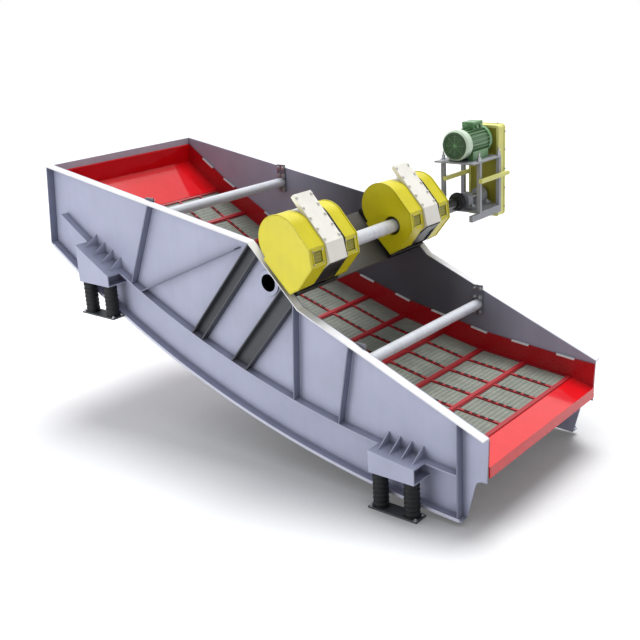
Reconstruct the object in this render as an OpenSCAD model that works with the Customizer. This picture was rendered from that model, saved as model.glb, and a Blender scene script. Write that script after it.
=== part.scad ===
// Single-deck vibrating screen with a curved deck of five slopes, two gear exciters and a belt drive.
// Millimetres. +X runs with the material to the discharge end, +Y to the drive side, +Z is up.
// The origin lies under the centre of the right discharge spring base plate.

/* [Deck] */
// Width of one deck panel across the flow
panel_w = 400; // [360:5:440]
// Length of one deck panel along the flow
panel_l = 600; // [560:5:640]
// Panels across the deck
panel_columns = 6; // [4:1:8]
// Fall of the last slope at the discharge end, in degrees
discharge_slope = 5.8; // [4:0.1:8]
// Steeper fall of each slope than the one after it, in degrees
slope_step = 5.7; // [5:0.1:6]
// Thickness of the red panel frames
frame_t = 16; // [12:1:30]
// Width of the red bars at the two ends of a panel
frame_end = 36; // [28:1:50]
// Width of the red bars along the two sides of a panel
frame_side = 18; // [14:1:30]
// Thickness of the grey screening mesh under the frames
mesh_t = 10; // [6:1:16]
// Width of the long mesh slots
slot_w = 22; // [14:1:28]
// Slots across one mesh window
slot_columns = 6; // [5:1:8]
// Slots along one mesh window
slot_rows = 2; // [2:1:4]
// Gap left round every deck panel and slope
deck_gap = 4; // [3:0.5:8]
// Height of the rails under the mesh
rail_h = 90; // [70:5:120]
// Width of the rails under the mesh
rail_w = 60; // [50:1:80]
// Outer diameter of the cross tubes under the deck
deck_tube_d = 140; // [110:5:170]
// Distance of the end of the deck from the discharge springs
deck_end_x = 683; // [660:1:700]
// Height of the end of the deck above the spring seats
deck_rise = 354; // [340:1:370]

/* [Side walls] */
// Thickness of the side plates
plate_t = 12; // [8:1:20]
// Clearance between the deck panels and each side plate
deck_side_gap = 20; // [16:1:30]
// Depth of the curved bottom edge below the deck
belly_drop = 643; // [620:1:665]
// Depth of the lower girder between its two flanges
girder_h = 505; // [450:5:560]
// Width of the flanges and stiffeners outside the plates
flange_w = 105; // [90:1:110]
// Thickness of the flanges
flange_t = 16; // [10:1:24]
// Thickness of the upright stiffeners
rib_t = 14; // [10:1:20]
// Length of the feed box beyond the deck
feed_run = 559; // [540:1:600]
// Height of the feed end corner above the deck
feed_h = 739; // [700:1:780]
// Lean of the feed end edge, in degrees
feed_lean = 6.3; // [3:0.1:9]
// Length of the inclined seat for the exciters
face_l = 952; // [900:5:1000]
// Height of the middle of the exciter seat above the deck
seat_rise = 1205; // [1190:1:1230]
// Length of the side walls beyond the end of the deck
end_run = 305; // [290:1:320]
// Height of the discharge end corner above the deck
end_rise = 251; // [230:1:270]
// Height of the upright edge at the discharge end
end_h = 507; // [480:1:530]
// Radius of the hollow under the upright edge
notch_r = 90; // [60:5:120]

/* [Liners] */
// Thickness of the red wear liners
liner_t = 18; // [12:1:19]
// Height of the side liners above the deck
liner_h = 230; // [180:5:260]
// Height of the back liner above the chute floor
back_liner_h = 220; // [180:5:260]
// Fall of the red lip at the discharge end, in degrees
lip_fall = 14.5; // [10:0.5:18]
// Height of the front of the lip
lip_h = 125; // [100:5:160]

/* [Springs] */
// Diameter of one spring
spring_d = 176; // [160:1:180]
// Height of one spring under load
spring_h = 410; // [390:1:430]
// Distance between the two springs of a pair
spring_pitch = 400; // [380:1:420]
// Ridges on one spring
spring_ridges = 7; // [5:1:9]
// Length of the spring base plates
base_l = 620; // [600:1:700]
// Width of the spring base plates
base_w = 190; // [180:1:240]
// Thickness of the spring base plates
base_t = 20; // [15:1:30]
// Clearance between the base plates and the girder flanges
base_gap = 8; // [6:1:20]
// Diameter of the anchor holes in the base plates
anchor_d = 26; // [18:1:28]
// Distance of the feed springs from the discharge springs
feed_spring_x = 4585; // [4540:5:4630]
// Height of the feed base plates above the discharge ones
feed_rise = 1430; // [1400:5:1460]
// Thickness of the bracket plates over the springs
bracket_t = 14; // [10:1:20]
// Height of the gussets on the brackets
gusset_h = 130; // [100:5:150]

/* [Exciters] */
// Width of one gear housing
housing_w = 300; // [260:5:320]
// Width of one yellow counterweight guard
guard_w = 270; // [240:5:280]
// Distance of the exciters' middles from the side plates
exciter_in = 279; // [270:1:300]
// Radius of the round end of the guards
guard_r = 285; // [270:1:295]
// Height of the drive axis above the inclined seat
axis_h = 352; // [340:1:365]
// Offset of the drive axis down the inclined seat
axis_s = 84; // [70:1:100]
// Outer diameter of the tube between the exciters
link_d = 165; // [140:1:180]
// Diameter of the shaft ends in the gear housings
journal_d = 90; // [70:1:100]
// Diameter of the openings for the shaft in the guards
guard_hole_d = 230; // [200:5:250]
// Outer diameter of the cross tube under the exciters
bridge_d = 270; // [240:5:290]
// Wall of the cross tube under the exciters
bridge_wall = 10; // [8:1:25]
// Width of the collars round the ends of that tube
collar_w = 12; // [8:1:40]

/* [Cross tubes] */
// Outer diameter of the upper cross tubes
tie_d = 130; // [110:1:150]
// Depth of the upper cross tubes below the top edge
tie_drop = 215; // [190:5:240]
// Distance of the feed cross tube from the feed end corner
feed_tie_in = 1838; // [1780:2:1900]
// Distance of the discharge cross tube from the discharge end corner
discharge_tie_in = 1565; // [1500:5:1620]

/* [Drive] */
// Distance of the motor axis above the drive axis
motor_rise = 744; // [730:1:780]
// Diameter of the motor body over its fins
motor_d = 396; // [370:1:410]
// Length of the motor
motor_l = 735; // [700:5:735]
// Diameter of the drive shaft tube
drive_tube_d = 120; // [100:1:140]
// Diameter of the jackshaft
jack_d = 70; // [50:1:80]
// Distance of the drive stand from the left side wall
stand_gap = 668; // [650:2:690]
// Length of the drive stand
stand_l = 740; // [720:5:760]
// Distance between the post rows of the stand
post_gap = 544; // [520:2:580]
// Side of the square stand posts
post = 50; // [45:1:60]
// Height of the base rails of the stand
base_rail = 80; // [60:1:100]
// Half width of the belt guard
belt_half = 230; // [210:1:260]
// Thickness of the belt guard
belt_t = 180; // [150:1:200]

/* [Hidden] */
$fn = 64;
// Radial play of the rotating shafts in their bearings
play = 0.1;
// Clearance of bolted joints inside the box
fit = 0.2;
big = 20000;
// Extra length of a drawn strip at both ends
strip_over = 300;

// Side plates, deck width and the main levels
panel_rows = 2;
slopes = 5;
inner_y = panel_columns * panel_w / 2 + deck_side_gap;
outer_y = inner_y + plate_t;
rim_y = outer_y + flange_w;
spring_y = rim_y + base_gap + base_w / 2;
shelf_y = spring_y + spring_d / 2 + 4;
slope_l = panel_rows * panel_l;
rail_top = -frame_t - mesh_t;
tube_notch = 20;
spring_top = base_t + spring_h;
lip_drop = end_run * tan(lip_fall);
deck_end = [deck_end_x, spring_top + deck_rise];

// Circle through the joints of the slopes, and the curved girder lines below it
deck_r = slope_l / 2 / sin(slope_step / 2);
deck_centre = deck_end + slope_l / 2 * [-cos(discharge_slope), sin(discharge_slope)]
  + deck_r * cos(slope_step / 2) * [sin(discharge_slope), cos(discharge_slope)];
curve = deck_centre + [174, -90];
belly_r = deck_r + belly_drop;
upper_r = belly_r - girder_h;
curve_from = -40.5;
curve_to = 4.5;
curve_step = 1.5;

// Corners of the side plate outline, as [x, z]
face = deck_pt(2) + [21, seat_rise];
face_half = face_l / 2 * [cos(45), -sin(45)];
face_high = face - face_half;
face_low = face + face_half;
feed_top = deck_pt(slopes) + [-feed_run, feed_h];
feed_low = feed_top + big / 16 * [-sin(feed_lean), -cos(feed_lean)];
end_top = deck_end + [end_run, end_rise];
end_low = end_top - [20, end_h];
notch = end_low - [118, 0];
tip = [deck_end.x + 39, spring_top - 410];
rib_end_x = deck_end.x + 7;
feed_tie = tie_at(feed_top, face_high, feed_top.x + feed_tie_in);
discharge_tie = tie_at(face_low, end_top, end_top.x - discharge_tie_in);
tie_pad = [140, 20, 375];
tie_pad_over = 30;

// Upright stiffeners as [x at the top edge, x at the girder], and the brace under the exciter seat
ribs = [
  [feed_tie.x + 96, feed_tie.x - 367],
  [face_low.x - 57, face_low.x - 128],
  [discharge_tie.x - 67, discharge_tie.x - 246]
];
brace_foot = feed_tie.x - 207;
brace_top = face_high - [212, 110];
flange_from = feed_top.x + 190;

// Channels under the exciters: place along the seat, depth below it, and width
channel_fall = 49.7;
channels = [[-367, 122, 170], [300, 92, 225]];

// Drive axis, in the frame of the inclined seat and in the side view
exciter_y = inner_y - exciter_in;
axis_xz = face + axis_s * [cos(45), -sin(45)] + axis_h * [sin(45), cos(45)];
housing_in = exciter_y - housing_w / 2;
housing_out = exciter_y + housing_w / 2;
guard_in = housing_in - guard_w;
journal_l = 60;
seat_t = 60;
seat_from = -410;
seat_to = 290;
bridge_sh = [-8, -195];
bridge_seat_from = -400;
bridge_seat_to = 320;
bridge_seat_t = 30;

// Guard outline in the frame of the inclined seat: round end, upright nose face and foot
guard_c = [-180, 400];
guard_top = [145, 664];
guard_nose = [315, 530];
guard_heel = [350, 205];
guard_foot = [310, seat_t + 14];
window = [130, 150, 14];

// Gear housing in the same frame: a round case inside the guards' outline, with a lid that stands out
case_r = guard_r - 5;
case_back = guard_c - [case_r - 20, 0];
case_nose = [335, 570];
lid_end = [-497, 725];
lid_nose = [150, 684];
lid_t = 45;
lid_root = guard_c + [0, case_r - 30];

// Drive stand levels
stand_y = outer_y + stand_gap;
stand_z = axis_xz.y - 225;
pad_z = stand_z + base_rail;
pad_t = 20;
post_in = 190;
motor_z = axis_xz.y + motor_rise;
motor_foot = 209;
plate_z = motor_z - motor_foot;
belt_y = stand_y + stand_l + post;
flange_y = stand_y + 60;
tyre_w = 110;
hub_d = 170;

// Moves the machine's middle plane so that the origin lies under the right discharge springs.
module placed() {
  translate([0, spring_y, 0])
    children();
}

// Draws for the left side (1) or, mirrored, for the right side (-1).
module on_side(side) {
  placed()
    if (side > 0)
      children();
    else
      mirror([0, 1, 0])
        children();
}

// Extrudes a side-view outline, drawn as [x, z], across the machine from y0 by t.
module wall(y0, t) {
  translate([0, y0 + t, 0])
    rotate([90, 0, 0])
      linear_extrude(t)
        children();
}

// A round bar or hole across the machine at [x, z], from y0 to y1.
module across(at, y0, y1, d) {
  translate([at.x, y1, at.y])
    rotate([90, 0, 0])
      cylinder(d = d, h = y1 - y0);
}

// Frame of the inclined exciter seat: x down the seat, z out of it.
module on_face() {
  translate([face.x, 0, face.y])
    rotate([0, 45, 0])
      children();
}

// Fall of slope i, counted from the discharge end.
function fall(i) = discharge_slope + i * slope_step;

// Lower corner of slope i on the top of the deck, as [x, z].
function deck_pt(i) =
  i == 0 ? deck_end : deck_pt(i - 1) + slope_l * [-cos(fall(i - 1)), sin(fall(i - 1))];

// Frame of slope i: x runs down the slope and is 0 at its lower end, z is 0 on the deck.
module on_slope(i) {
  translate([deck_pt(i).x, 0, deck_pt(i).y])
    rotate([0, fall(i), 0])
      children();
}

// Point at angle a, from straight down, on a curved line of radius r in the side view.
function curve_pt(r, a) = curve + r * [sin(a), -cos(a)];

// Everything above the curved line of the given radius, in the side view.
module inside_curve(r) {
  polygon(concat(
    [for (a = [curve_from:curve_step:curve_to]) curve_pt(r, a)],
    [curve, [-big, curve.y]]
  ));
}

// Everything below the top edge, lowered by drop, and between the two ends.
module below_top(drop) {
  low = [0, drop];
  polygon([
    feed_top - low, face_high - low, face_low - low, end_top - low, end_low,
    each notch_arc(), tip, tip - [0, big], feed_low - [0, big], feed_low
  ]);
}

// Points along the hollow under the upright edge at the discharge end.
function notch_arc() =
  let (
    lean = atan2(notch.y - tip.y, notch.x - tip.x),
    centre = notch + notch_r * [(1 - cos(lean)) / sin(lean), -1]
  )
  [for (k = [0:6]) centre + notch_r * [cos(90 + k * lean / 6), sin(90 + k * lean / 6)]];

// Height of the top edge at x, between the points a and b.
function edge_z(a, b, x) = a.y + (b.y - a.y) * (x - a.x) / (b.x - a.x);

// Height of the top edge at x.
function top_z(x) =
  x < face_high.x ? edge_z(feed_top, face_high, x) :
  x < face_low.x ? edge_z(face_high, face_low, x) : edge_z(face_low, end_top, x);

// Height of the upper face of the upper girder flange at x.
function flange_z(x) = curve.y - sqrt(pow(upper_r - flange_t, 2) - pow(x - curve.x, 2));

module plate_outline() {
  intersection() {
    below_top(0);
    inside_curve(belly_r);
  }
}

// A curved strip of the given outer radius between two upright limits.
module curved_strip(r, t, x0, x1) {
  intersection() {
    difference() {
      inside_curve(r);
      inside_curve(r - t);
    }
    translate([x0, -big])
      square([x1 - x0, 2 * big]);
  }
}

// A straight strip of width w along the line from a to b, drawn longer at both ends.
module strip(a, b, w) {
  d = b - a;
  translate(a)
    rotate(atan2(d.y, d.x))
      translate([-strip_over, -w / 2])
        square([norm(d) + 2 * strip_over, w]);
}

module side_plate(side) {
  color("lightsteelblue")
    on_side(side)
      difference() {
        wall(inner_y, plate_t)
          plate_outline();
        on_face()
          across(bridge_sh, inner_y - 1, outer_y + 1, bridge_d);
      }
}

module top_flange(side) {
  low = [0, flange_t];
  color("ghostwhite")
    on_side(side)
      wall(outer_y, flange_w)
        polygon([
          feed_top, face_high, face_low, end_top,
          end_top - low, face_low - low, face_high - low, feed_top - low
        ]);
}

module girder_flanges(side) {
  color("lavender")
    on_side(side)
      wall(outer_y, flange_w)
        intersection() {
          union() {
            curved_strip(upper_r, flange_t, flange_from, rib_end_x - rib_t);
            curved_strip(belly_r, flange_t, -big, big);
          }
          below_top(flange_t);
        }
}

// Room for stiffeners between the top flange and the upper girder flange.
module web_field() {
  intersection() {
    below_top(flange_t);
    inside_curve(upper_r - flange_t);
  }
}

// Point at s along the inclined seat and h out of it, in the side view.
function face_pt(s, h) = face + s * [cos(45), -sin(45)] + h * [sin(45), cos(45)];

// Strip down from the seat for one channel, narrowed by trim on both sides.
module channel_strip(c, trim) {
  top = face_pt(c[0], -c[1]);
  strip(top, top - big / 16 * [cos(channel_fall), sin(channel_fall)], c[2] - 2 * trim);
}

module channel_strips() {
  for (c = channels)
    channel_strip(c, 0);
}

// One upright stiffener between the top flange and the girder.
module rib_strip(r) {
  strip([r[0], top_z(r[0])], [r[1], flange_z(r[1])], rib_t);
}

module stiffeners(side) {
  color("slategray")
    on_side(side)
      wall(outer_y, flange_w) {
        for (r = ribs)
          difference() {
            intersection() {
              web_field();
              rib_strip(r);
            }
            channel_strips();
          }
        intersection() {
          below_top(flange_t);
          inside_curve(belly_r - flange_t);
          translate([rib_end_x - rib_t, -big / 2])
            square([rib_t, big]);
        }
        intersection() {
          below_top(flange_t);
          inside_curve(belly_r - flange_t);
          strip(feed_top, feed_low, 2 * rib_t);
        }
        difference() {
          intersection() {
            web_field();
            translate([ribs[0][1], 0])
              square([brace_top.x - ribs[0][1], big]);
            strip([brace_foot, flange_z(brace_foot)], brace_top, rib_t);
          }
          rib_strip(ribs[0]);
          channel_strips();
        }
      }
}

module exciter_channels(side) {
  color("dimgray")
    on_side(side)
      difference() {
        wall(outer_y, flange_w)
          intersection() {
            web_field();
            channel_strips();
          }
        wall(outer_y + rib_t, flange_w)
          for (c = channels)
            channel_strip(c, rib_t);
      }
}

// Spring bracket at xc: shelf plate, front web, two cross webs and four gussets.
module bracket(side, xc, seat_z) {
  half = base_l / 2 - 20;
  reach = shelf_y - outer_y;
  color("lightsteelblue")
    on_side(side) {
      wall(rim_y, shelf_y - rim_y)
        curved_strip(upper_r, flange_t, xc - half, xc + half);
      translate([xc - half, outer_y, seat_z])
        cube([2 * half, reach, bracket_t]);
      wall(shelf_y - bracket_t, bracket_t)
        bracket_web(xc - half, 2 * half, seat_z, upper_r - flange_t / 2);
      for (x = [-1, 1]) {
        wall(outer_y, flange_w)
          bracket_web(xc + x * half / 2 - bracket_t / 2, bracket_t, seat_z, upper_r);
        wall(rim_y, shelf_y - rim_y)
          bracket_web(xc + x * half / 2 - bracket_t / 2, bracket_t, seat_z, upper_r - flange_t / 2);
      }
      intersection() {
        wall(outer_y, reach)
          inside_curve(upper_r - flange_t);
        for (i = [-1.5:1:1.5])
          translate([xc + i * half / 2 - bracket_t / 2, outer_y, flange_z(xc + i * half / 2)])
            rotate([90, 0, 90])
              linear_extrude(bracket_t)
                polygon([[0, -60], [reach * 0.72, -60], [reach * 0.72, 0], [0, gusset_h]]);
      }
    }
}

// Web from the shelf up to the curved line of radius r.
module bracket_web(x0, w, seat_z, r) {
  difference() {
    translate([x0, seat_z + bracket_t / 2])
      square([w, big / 20]);
    inside_curve(r);
  }
}

module back_plate() {
  color("lightsteelblue")
    placed()
      wall(-inner_y, 2 * inner_y)
        intersection() {
          plate_outline();
          strip(feed_top, feed_low, 2 * plate_t);
        }
}

// Red liners of the feed box: the chute floor and a low back wall.
module feed_liner() {
  w = 2 * (inner_y - liner_t);
  color("crimson")
    placed()
      wall(-w / 2, w)
        difference() {
          intersection() {
            union() {
              strip(feed_top, feed_low, 2 * (plate_t + liner_t));
              on_chute()
                square([big / 16, liner_t]);
            }
            on_chute()
              square([big / 16, liner_t + back_liner_h]);
            below_top(flange_t);
          }
          strip(feed_top, feed_low, 2 * plate_t);
        }
}

// Frame of the chute floor in the side view: x up the chute from the deck, y out of its underside.
module on_chute() {
  translate(deck_pt(slopes))
    rotate(180 - fall(slopes))
      mirror([0, 1])
        translate([deck_gap, -liner_t])
          children();
}

// Where a line at height h over the chute floor meets the back plate, as [x, z].
function chute_end(h) =
  let (
    n = [cos(feed_lean), -sin(feed_lean)],
    up = [-cos(fall(slopes)), sin(fall(slopes))],
    start = deck_pt(slopes) + h * [sin(fall(slopes)), cos(fall(slopes))]
  )
  start + up * (plate_t - (start - feed_top) * n) / (up * n);

// Corner of the liner's top edge over the joint below slope i.
function liner_pt(i) =
  let (mid = i == 0 ? fall(0) : fall(i) - slope_step / 2)
  deck_pt(i) + liner_h / cos(mid - fall(i)) * [sin(mid), cos(mid)];

// Red liner along one side wall, from the back plate to the discharge end.
module side_liner(side) {
  color("crimson")
    on_side(side)
      wall(inner_y - liner_t, liner_t)
        intersection() {
          below_top(flange_t);
          polygon(concat(
            [deck_end + [end_run, -lip_drop]],
            [for (i = [0:slopes]) deck_pt(i)],
            [chute_end(0), chute_end(liner_h)],
            [for (i = [slopes:-1:0]) liner_pt(i)],
            [end_top - [0, 40]]
          ));
        }
}

// Cross tubes under the deck, two for each slope, between the side plates.
module deck_tubes() {
  color("lightslategray")
    placed()
      for (i = [0:slopes - 1])
        on_slope(i)
          each_tube()
            across([0, 0], -inner_y + fit, inner_y - fit, deck_tube_d);
}

// Repeats what lies on each cross tube of one slope.
module each_tube() {
  for (r = [0:panel_rows - 1])
    translate([-(r + 0.5) * panel_l, 0, rail_top - rail_h - deck_tube_d / 2 + tube_notch])
      children();
}

// Rails under the panel joints, notched over the cross tubes.
module deck_rails() {
  l = slope_l - deck_gap;
  color("slategray")
    placed()
      for (i = [0:slopes - 1])
        on_slope(i)
          difference() {
            for (c = [0:panel_columns])
              translate([-l - deck_gap / 2, rail_y(c) - rail_w / 2, rail_top - rail_h])
                cube([l, rail_w, rail_h]);
            each_tube()
              across([0, 0], -inner_y, inner_y, deck_tube_d + 2 * fit);
          }
}

// Rail lines lie under the panel joints, with the outer rails against the side plates.
function rail_y(c) =
  let (edge = inner_y - fit - rail_w / 2)
  c == 0 ? -edge : c == panel_columns ? edge : (c - panel_columns / 2) * panel_w;

// Repeats a panel's cut-outs over every panel of one slope, in the slope's own frame.
module each_panel() {
  for (c = [0:panel_columns - 1])
    for (r = [0:panel_rows - 1])
      translate([-(r + 0.5) * panel_l, (c + 0.5 - panel_columns / 2) * panel_w])
        children();
}

module slope_sheet() {
  translate([-slope_l + deck_gap / 2, -panel_columns * panel_w / 2])
    square([slope_l - deck_gap, panel_columns * panel_w]);
}

// Long slots that let the fine material fall through one mesh window.
module mesh_slots() {
  win = [panel_l - 2 * frame_end, panel_w - 2 * frame_side];
  bridge = 26;
  pitch = [win.x / slot_rows, win.y / slot_columns];
  for (a = [0:slot_rows - 1])
    for (b = [0:slot_columns - 1])
      translate([(a + 0.5) * pitch.x - win.x / 2, (b + 0.5) * pitch.y - win.y / 2])
        square([pitch.x - bridge, slot_w], center = true);
}

module deck_mesh() {
  color("gray")
    placed()
      for (i = [0:slopes - 1])
        on_slope(i)
          translate([0, 0, -frame_t - mesh_t])
            linear_extrude(mesh_t)
              difference() {
                slope_sheet();
                each_panel()
                  mesh_slots();
              }
}

module deck_frames() {
  color("crimson")
    placed()
      for (i = [0:slopes - 1])
        on_slope(i)
          translate([0, 0, -frame_t])
            linear_extrude(frame_t)
              difference() {
                slope_sheet();
                each_panel()
                  square([panel_l - 2 * frame_end, panel_w - 2 * frame_side], center = true);
              }
}

// Red lip: a falling sheet from the end of the deck, with its front edge turned down.
module discharge_lip() {
  w = 2 * (inner_y - liner_t);
  back = deck_end + [deck_gap, -deck_gap * tan(lip_fall)];
  front = deck_end + [end_run, -lip_drop];
  color("firebrick")
    placed()
      wall(-w / 2, w)
        polygon([
          back, front, front - [0, lip_h], front - [frame_t, lip_h],
          front - [frame_t, frame_t - frame_t * tan(lip_fall)], back - [0, frame_t]
        ]);
}

// Upper cross tube with an end plate on each side wall that stands up over its edge.
module tie_tube(at) {
  color("silver")
    placed() {
      across(at, -inner_y, inner_y, tie_d);
      for (y = [-inner_y, inner_y - tie_pad.y])
        translate([at.x - tie_pad.x / 2, y, at.y + tie_drop + tie_pad_over - tie_pad.z])
          cube(tie_pad);
    }
}

// Point on the top edge at x, lowered to the centre of an upper cross tube.
function tie_at(a, b, x) = [x, edge_z(a, b, x) - tie_drop];

// Box girder that carries the exciters: seat plate, two webs and a tube through both side plates.
module exciter_bridge() {
  web = 16;
  collar_t = 14;
  r = bridge_d / 2;
  color("darkgray")
    placed()
      on_face()
        difference() {
          union() {
            translate([bridge_seat_from, -inner_y, -bridge_seat_t])
              cube([bridge_seat_to - bridge_seat_from, 2 * inner_y, bridge_seat_t]);
            for (x = [bridge_sh.x - r, bridge_sh.x + r - web])
              translate([x, -inner_y, bridge_sh.y])
                cube([web, 2 * inner_y, -bridge_sh.y - bridge_seat_t / 2]);
            across(bridge_sh, -outer_y, outer_y, bridge_d - 2 * fit);
            for (y = [-outer_y - collar_t, outer_y])
              across(bridge_sh, y, y + collar_t, bridge_d + 2 * collar_w);
          }
          across(bridge_sh, -rim_y, rim_y, bridge_d - 2 * bridge_wall);
        }
}

module exciter_seat(side) {
  w = housing_w + guard_w;
  color("black")
    on_side(side)
      on_face()
        translate([seat_from, inner_y - w - 8, 0])
          cube([seat_to - seat_from, w, seat_t]);
}

// Yellow guard in the frame of the inclined seat: one round end, one chamfered end.
module guard_block(y0) {
  wall(y0, guard_w)
    translate(guard_c)
      circle(guard_r);
  wall(y0, guard_w)
    polygon([
      guard_c + [0, guard_r], guard_top, guard_nose, guard_heel, guard_foot, [guard_c.x, guard_foot.y]
    ]);
}

// Sunk inspection window in the upright nose face of a guard.
module guard_window(y0) {
  mid = (guard_top + guard_nose) / 2;
  d = guard_nose - guard_top;
  translate([mid.x, y0 + guard_w / 2, mid.y])
    rotate([0, -atan2(d.y, d.x), 0])
      cube([window.x, window.y, 2 * window.z], center = true);
}

module guard(side, y0, hole) {
  color("yellow")
    on_side(side)
      on_face()
        difference() {
          guard_block(y0);
          guard_window(y0);
          if (hole)
            across([axis_s, axis_h], y0 - 1, y0 + guard_w + 1, guard_hole_d);
        }
}

// Gear housing in the frame of the inclined seat: a round case under a flat lid.
module housing_block() {
  wall(housing_in, housing_w)
    translate(guard_c)
      circle(case_r);
  wall(housing_in, housing_w)
    polygon([
      [seat_from, seat_t], case_back, lid_root, lid_end - [0, lid_t], lid_end, lid_nose,
      case_nose, [seat_to, seat_t]
    ]);
}

module exciter_housing(side) {
  color("whitesmoke")
    on_side(side)
      on_face()
        difference() {
          housing_block();
          across([axis_s, axis_h], housing_in - 1, housing_in + journal_l, journal_d + 2 * play);
          if (side > 0)
            across([axis_s, axis_h], housing_out - journal_l, housing_out + 1, journal_d + 2 * play);
        }
}

// Shaft tube between the two exciters, with a journal in each gear housing.
module link_shaft() {
  end = guard_in + 40;
  color("silver")
    placed() {
      across(axis_xz, -end, end, link_d);
      across(axis_xz, -housing_in + 4, housing_in - 4, journal_d + 30);
      across(axis_xz, -housing_in - journal_l + 4, housing_in + journal_l - 4, journal_d);
    }
}

// Shaft from the left exciter to the tyre coupling.
module drive_shaft() {
  color("darkslategray")
    placed() {
      across(axis_xz, housing_out - journal_l + 4, housing_out + 8, journal_d);
      across(axis_xz, housing_out + 4, flange_y - 20, drive_tube_d);
      across(axis_xz, flange_y - 25, flange_y, hub_d);
    }
}

module tyre_coupling() {
  color("black")
    placed()
      translate([axis_xz.x, flange_y, axis_xz.y])
        rotate([-90, 0, 0])
          rotate_extrude($fn = 96) {
            translate([hub_d / 2 - 35, 0])
              square([35, tyre_w]);
            translate([hub_d / 2 - 15, tyre_w / 2])
              circle(tyre_w / 2, $fn = 48);
          }
}

module jackshaft() {
  y0 = flange_y + tyre_w;
  color("silver")
    placed() {
      across(axis_xz, y0, y0 + 25, hub_d);
      across(axis_xz, y0 + 20, belt_y + 40, jack_d);
    }
}

// One pillow block for the jackshaft, from y0.
module pillow_block(y0) {
  w = 110;
  base = [300, 40];
  body_d = jack_d + 116;
  foot = axis_xz.y - pad_z - pad_t;
  translate([axis_xz.x, y0, axis_xz.y])
    difference() {
      union() {
        wall(0, w) {
          circle(d = body_d);
          translate([-body_d / 2, -foot])
            square([body_d, foot]);
        }
        translate([-base.x / 2, 0, -foot])
          cube([base.x, w, base.y]);
      }
      across([0, 0], -1, w + 1, jack_d + 2 * play);
    }
}

module bearing_blocks() {
  color("gray")
    placed() {
      pillow_block(flange_y + tyre_w + 80);
      pillow_block(belt_y - 170);
    }
}

// One spring from z0: a black cylinder with round ridges between two end plates.
module spring(x, y, z0) {
  cap = 14;
  ridge_h = 6;
  step = (spring_h - 2 * cap) / spring_ridges;
  translate([x, y, z0])
    rotate_extrude($fn = 64) {
      square([spring_d / 2, cap]);
      translate([0, spring_h - cap])
        square([spring_d / 2, cap]);
      translate([0, cap / 2])
        square([spring_d / 2 - ridge_h, spring_h - cap]);
      for (i = [0:spring_ridges - 1])
        translate([spring_d / 2 - step * 0.4, cap + (i + 0.5) * step])
          circle(d = step * 0.8, $fn = 24);
    }
}

module springs(xc, z0) {
  color("black")
    placed()
      for (x = [-1, 1])
        for (y = [-1, 1])
          spring(xc + x * spring_pitch / 2, y * spring_y, z0);
}

module base_plate(side, xc, z0) {
  hole = [base_l / 2 - 28, base_w / 2 - 28];
  color("dimgray")
    on_side(side)
      translate([xc, spring_y, z0])
        difference() {
          translate([-base_l / 2, -base_w / 2, 0])
            cube([base_l, base_w, base_t]);
          for (x = [-1, 1])
            for (y = [-1, 1])
              translate([x * hole.x, y * hole.y, -1])
                cylinder(d = anchor_d, h = base_t + 2);
        }
}

// Welded frame beside the screen: base rails, bearing pad, posts and motor plate.
module drive_stand() {
  color("gray")
    placed()
      translate([axis_xz.x, 0, 0]) {
        for (x = [-1, 1]) {
          translate([x * post_gap / 2 - post / 2, stand_y, stand_z])
            cube([post, stand_l, base_rail]);
          for (y = [stand_y + post_in, stand_y + stand_l - post])
            translate([x * post_gap / 2 - post / 2, y, pad_z - 1])
              cube([post, post, plate_z - pad_t - pad_z + 2]);
        }
        translate([-post_gap / 2 - post / 2, stand_y + post_in, pad_z])
          cube([post_gap + post, stand_l - post_in, pad_t]);
        translate([-post_gap / 2 - post / 2, stand_y + 30, plate_z - pad_t])
          cube([post_gap + post, stand_l - 30, pad_t]);
      }
}

// Yellow rails at mid height: one inside the posts carries the belt guard, one passes it outside.
module guard_rails() {
  bar = 50;
  from = stand_y + post_in - 30;
  color("gold")
    placed()
      translate([axis_xz.x, from, axis_xz.y + 260]) {
        translate([-post_gap / 2 + post / 2, 0, 0])
          cube([bar, belt_y - from, bar]);
        translate([post_gap / 2 + post / 2, 0, 0])
          cube([bar, belt_y + belt_t / 2 - from, bar]);
      }
}

module belt_guard() {
  round_r = 45;
  low = 313;
  high = motor_rise + 173;
  color("goldenrod")
    placed()
      difference() {
        wall(belt_y, belt_t)
          translate(axis_xz)
            union() {
              translate([-belt_half + round_r, -low])
                square([2 * (belt_half - round_r), low + high]);
              translate([-belt_half, -low + round_r])
                square([2 * belt_half, low + high - 2 * round_r]);
              for (x = [-1, 1])
                for (z = [-low + round_r, high - round_r])
                  translate([x * (belt_half - round_r), z])
                    circle(round_r);
            }
        across(axis_xz, belt_y - 1, belt_y + 60, jack_d + 20);
      }
}

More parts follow.
